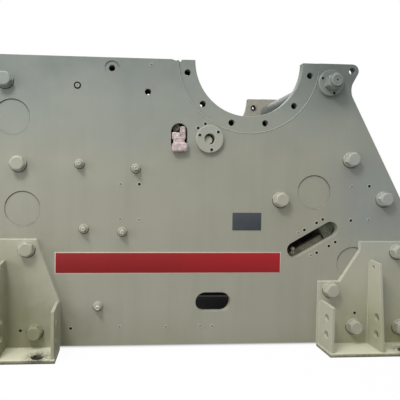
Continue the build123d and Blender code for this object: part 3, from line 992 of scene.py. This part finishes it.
def wrapped_bundle():
    """A hose end wrapped in film: a fat roll on the sill, a waist, a flap and a strap."""
    face = -PLATE_FACE
    lumps = [
        ((WINDOW_X + 3, face - 12, WINDOW_SILL + 34), (112, 52, 66)),
        ((WINDOW_X - 2, face + 6, WINDOW_SILL + 86), (84, 44, 50)),
        ((WINDOW_X - 25, face + 18, WINDOW_SILL + 126), (60, 32, 58)),
        ((WINDOW_X + 30, face + 26, WINDOW_SILL + 152), (42, 34, 100)),
    ]
    return joined([pillow(centre, size) for centre, size in lumps])


def hose_end():
    """The ribbed end of the hose above the film."""
    rings = [(0, 0), (12, 0), (14, 10), (20, 12), (22, 4), (30, 4), (34, 0)]
    rings += [(34, -10), (31, -13), (34, -16), (34, -30), (0, -30)]
    return stood_at(turned(rings, 32), WINDOW_X - 22, WINDOW_SILL + 198, PLATE_FACE - 26)


def fit_wrapping():
    bundle = place("wrapped_hose_end", wrapped_bundle(), film_wrap, 80.0)
    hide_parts("window_fitting")
    place("hose_end", hose_end(), hose_skin, 40.0)
    across = (WINDOW_X - 80, WINDOW_X + 80)
    # A black sheet behind the window, as painted shade of the chamber seen through it
    back = bevelled_panel(across, (WINDOW_SILL - 18, WINDOW_SILL + 252), INNER_PLATE_FACE - 4, 3.0, 0.8)
    place("window_shade_sheet", back, hole_shade)


def slot_place(along, across):
    axis = (SLOT_B - SLOT_A).normalized()
    side = Vector((-axis.y, axis.x))
    spot = (SLOT_A + SLOT_B) / 2 + axis * along + side * across
    return spot.x, spot.y


def fit_slot():
    """The adjusting nut and screw end that show in the inclined slot."""
    nut_x, nut_z = slot_place(-168, -2)
    screw_x, screw_z = slot_place(-184, -29)
    nut = hexagon_block(ADJUSTER_NUT_FLATS, ADJUSTER_NUT_H, ADJUSTER_NUT_FACE_R)
    nuts = repeated(nut, [(nut_x, nut_z, INNER_PLATE_FACE - 4)])
    ring = turned([(0, 2), (6, 2), (7, 12), (12, 12), (15, 9), (15, 0), (0, 0)], 24)
    screws = stood_at(ring, screw_x, screw_z, INNER_PLATE_FACE - 4)
    place_pair("adjuster_nut", nuts, fitting_paint)
    place_pair("adjuster_screw", screws, fitting_paint)


def weld_bead(start, end, radius=5.0):
    """A rippled weld bead from one point to another, thinner at its ends."""
    tip = 0.6
    run = (Vector(end) - Vector(start)) * MM
    steps = max(round(run.length / (7 * MM)), 2)
    bm = bmesh.new()
    bmesh.ops.create_circle(bm, cap_ends=True, segments=8, radius=radius * tip * MM)
    ring = list(bm.edges)
    fat = tip
    for step in range(1, steps + 1):
        grown = bmesh.ops.extrude_edge_only(bm, edges=ring)["geom"]
        fresh = [item for item in grown if isinstance(item, bmesh.types.BMVert)]
        reached = set(fresh)
        edges = [item for item in grown if isinstance(item, bmesh.types.BMEdge)]
        ring = [edge for edge in edges if reached.issuperset(edge.verts)]
        wanted = tip if step == steps else 1.0 + 0.16 * math.sin(step * 2.2) + rng.uniform(-0.12, 0.12)
        bmesh.ops.translate(bm, verts=fresh, vec=(0, 0, run.length / steps))
        bmesh.ops.scale(bm, verts=fresh, vec=(wanted / fat, wanted / fat, 1))
        fat = wanted
    bmesh.ops.edgeloop_fill(bm, edges=ring)
    turn = run.to_track_quat("Z", "Y").to_matrix()
    bmesh.ops.rotate(bm, cent=(0, 0, 0), matrix=turn, verts=bm.verts)
    bmesh.ops.translate(bm, verts=bm.verts, vec=Vector(start) * MM)
    bmesh.ops.recalc_face_normals(bm, faces=bm.faces)
    return bm


def fit_welds():
    """Weld beads round the foot pads and where the ribs meet the pads and the bases."""
    beads = []
    for edge in (FRONT_PAD_EDGE, REAR_PAD_EDGE):
        for (x0, z0), (x1, z1) in zip(edge, edge[1:]):
            beads.append(weld_bead((x0, -PLATE_FACE - 1, z0), (x1, -PLATE_FACE - 1, z1), 4.5))
    for x, foot_edge, top in RIBS:
        for side in (x, x + RIB_T):
            beads.append(weld_bead((side, -PAD_FACE, BASE_TOP + 2), (side, -PAD_FACE, top - 14)))
            beads.append(weld_bead((side, -PAD_FACE, BASE_TOP), (side, -foot_edge + 12, BASE_TOP)))
    place_pair("weld_beads", joined(beads), lit_paint, 50.0)


def ground_clear_of_shadow(pale):
    """0 on the ground that carries painted shadow under the frame, also below its anchor holes, and 1 on the
    open ground.
    """
    along = pale.axis("X")
    across = pale.axis("Y")
    side = pale.math("ABSOLUTE", across, 0)
    ends = pale.math("MAXIMUM", pale.remap(along, *DARK_FRONT), pale.remap(along, *DARK_REAR))
    unshadowed = pale.math("MAXIMUM", ends, pale.remap(side, *DARK_SIDE))
    for x, y in ANCHOR_HOLES:
        hole_x = pale.clear_of(along, x * MM, 0.05, 0.07)
        hole_y = pale.clear_of(side, y * MM, 0.05, 0.055)
        unshadowed = pale.math("MULTIPLY", unshadowed, pale.math("MAXIMUM", hole_x, hole_y))
    gap = pale.math("MAXIMUM", pale.clear_of(along, *GAP_ALONG), pale.clear_of(across, *GAP_ACROSS))
    return pale.math("MULTIPLY", unshadowed, gap)


def pale_ground():
    """Pale ground that the lens sees as nearly white, with painted shadow under the frame."""
    pale = Finish("pale_floor", 0.9)
    seen = pale.node("ShaderNodeLightPath").outputs["Is Camera Ray"]
    unshadowed = ground_clear_of_shadow(pale)
    shade = pale.mix(pale.noise(3.0, 4.0), (0.30, 0.30, 0.29, 1.0), (0.34, 0.34, 0.33, 1.0))
    shade = pale.mix(seen, shade, (0.82, 0.82, 0.81, 1.0))
    # Near-black ground where the shadow is painted
    pale.done(pale.mix(unshadowed, (0.03, 0.03, 0.028, 1.0), shade))
    glow = pale.node("ShaderNodeEmission")
    glow.inputs["Strength"].default_value = 1.0
    mixer = pale.node("ShaderNodeMixShader")
    pale.link(pale.math("MULTIPLY", pale.math("MULTIPLY", seen, unshadowed), GROUND_GLOW), mixer.inputs["Fac"])
    pale.link(pale.shader.outputs["BSDF"], mixer.inputs[1])
    pale.link(glow.outputs["Emission"], mixer.inputs[2])
    pale.link(mixer.outputs["Shader"], pale.tree.nodes["Material Output"].inputs["Surface"])
    return pale.material


def build_floor():
    bm = bmesh.new()
    bmesh.ops.create_grid(bm, x_segments=2, y_segments=2, size=30.0)
    mesh = bpy.data.meshes.new("floor")
    bm.to_mesh(mesh)
    bm.free()
    mesh.materials.append(pale_ground())
    floor = bpy.data.objects.new("floor", mesh)
    bpy.context.scene.collection.objects.link(floor)


def build_world():
    """A white backdrop for the eye and for rays through glass, and an even grey sky for the light on the
    object.
    """
    world = bpy.data.worlds.new("studio")
    bpy.context.scene.world = world
    world.use_nodes = True
    tree = world.node_tree
    tree.nodes.clear()
    out = tree.nodes.new("ShaderNodeOutputWorld")
    seen = tree.nodes.new("ShaderNodeBackground")
    seen.inputs["Color"].default_value = (1, 1, 1, 1)
    seen.inputs["Strength"].default_value = 1.0
    sky = tree.nodes.new("ShaderNodeBackground")
    sky.inputs["Color"].default_value = (0.93, 0.97, 1.0, 1)
    sky.inputs["Strength"].default_value = SKY_STRENGTH
    rays = tree.nodes.new("ShaderNodeLightPath")
    direct = tree.nodes.new("ShaderNodeMath")
    direct.operation = "MAXIMUM"
    tree.links.new(rays.outputs["Is Camera Ray"], direct.inputs[0])
    tree.links.new(rays.outputs["Is Transmission Ray"], direct.inputs[1])
    mixer = tree.nodes.new("ShaderNodeMixShader")
    tree.links.new(direct.outputs["Value"], mixer.inputs["Fac"])
    tree.links.new(sky.outputs["Background"], mixer.inputs[1])
    tree.links.new(seen.outputs["Background"], mixer.inputs[2])
    tree.links.new(mixer.outputs["Shader"], out.inputs["Surface"])


def add_lamp(name, place_at, aim, size, power, tint=(1, 1, 1)):
    lamp = bpy.data.lights.new(name, "AREA")
    lamp.shape = "RECTANGLE"
    lamp.size, lamp.size_y = size
    lamp.energy = power
    lamp.color = tint
    holder = bpy.data.objects.new(name, lamp)
    bpy.context.scene.collection.objects.link(holder)
    holder.location = place_at
    holder.rotation_euler = (Vector(aim) - Vector(place_at)).to_track_quat("-Z", "Y").to_euler()


def build_lamps():
    add_lamp("top_left", (-3.0, -4.4, 6.8), (0, -0.75, 1.2), (2.0, 1.5), 290)
    add_lamp("overhead", (0.0, -2.6, 7.0), (0, -0.95, 0.3), (8, 3), 200)
    add_lamp("left_side", (-8.0, -3.6, 3.0), (1.2, -0.9, 0.6), (7, 5), 300)
    add_lamp("back_soft", (1.0, 6.0, 5.0), (0, 0.6, 1.2), (5, 3), 140)


def build_camera():
    yaw = math.radians(CAMERA_YAW)
    pitch = math.radians(CAMERA_PITCH)
    roll = math.radians(CAMERA_ROLL)
    ahead = Vector((math.sin(yaw) * math.cos(pitch), math.cos(yaw) * math.cos(pitch), -math.sin(pitch)))
    level = Vector((math.cos(yaw), -math.sin(yaw), 0))
    upright = level.cross(ahead)
    right = level * math.cos(roll) + upright * math.sin(roll)
    up = upright * math.cos(roll) - level * math.sin(roll)
    lens = bpy.data.cameras.new("camera")
    lens.sensor_width = CAMERA_SENSOR
    lens.lens = CAMERA_LENS
    lens.shift_x, lens.shift_y = CAMERA_SHIFT
    lens.clip_end = 200.0
    camera = bpy.data.objects.new("camera", lens)
    bpy.context.scene.collection.objects.link(camera)
    camera.matrix_world = Matrix.Translation(CAMERA_PLACE) @ Matrix((right, up, -ahead)).transposed().to_4x4()
    bpy.context.scene.camera = camera


build_camera()
finish_frame_nodes()
round_frame_edges()
fit_hole_sleeves()
fit_bolts()
fit_taps()
fit_stripe()
fit_tie_and_flange()
fit_wrapping()
fit_slot()
fit_ring_lines()
fit_washer_shadows()
fit_welds()
build_floor()
build_world()
build_lamps()
bpy.context.scene.view_settings.view_transform = "Standard"
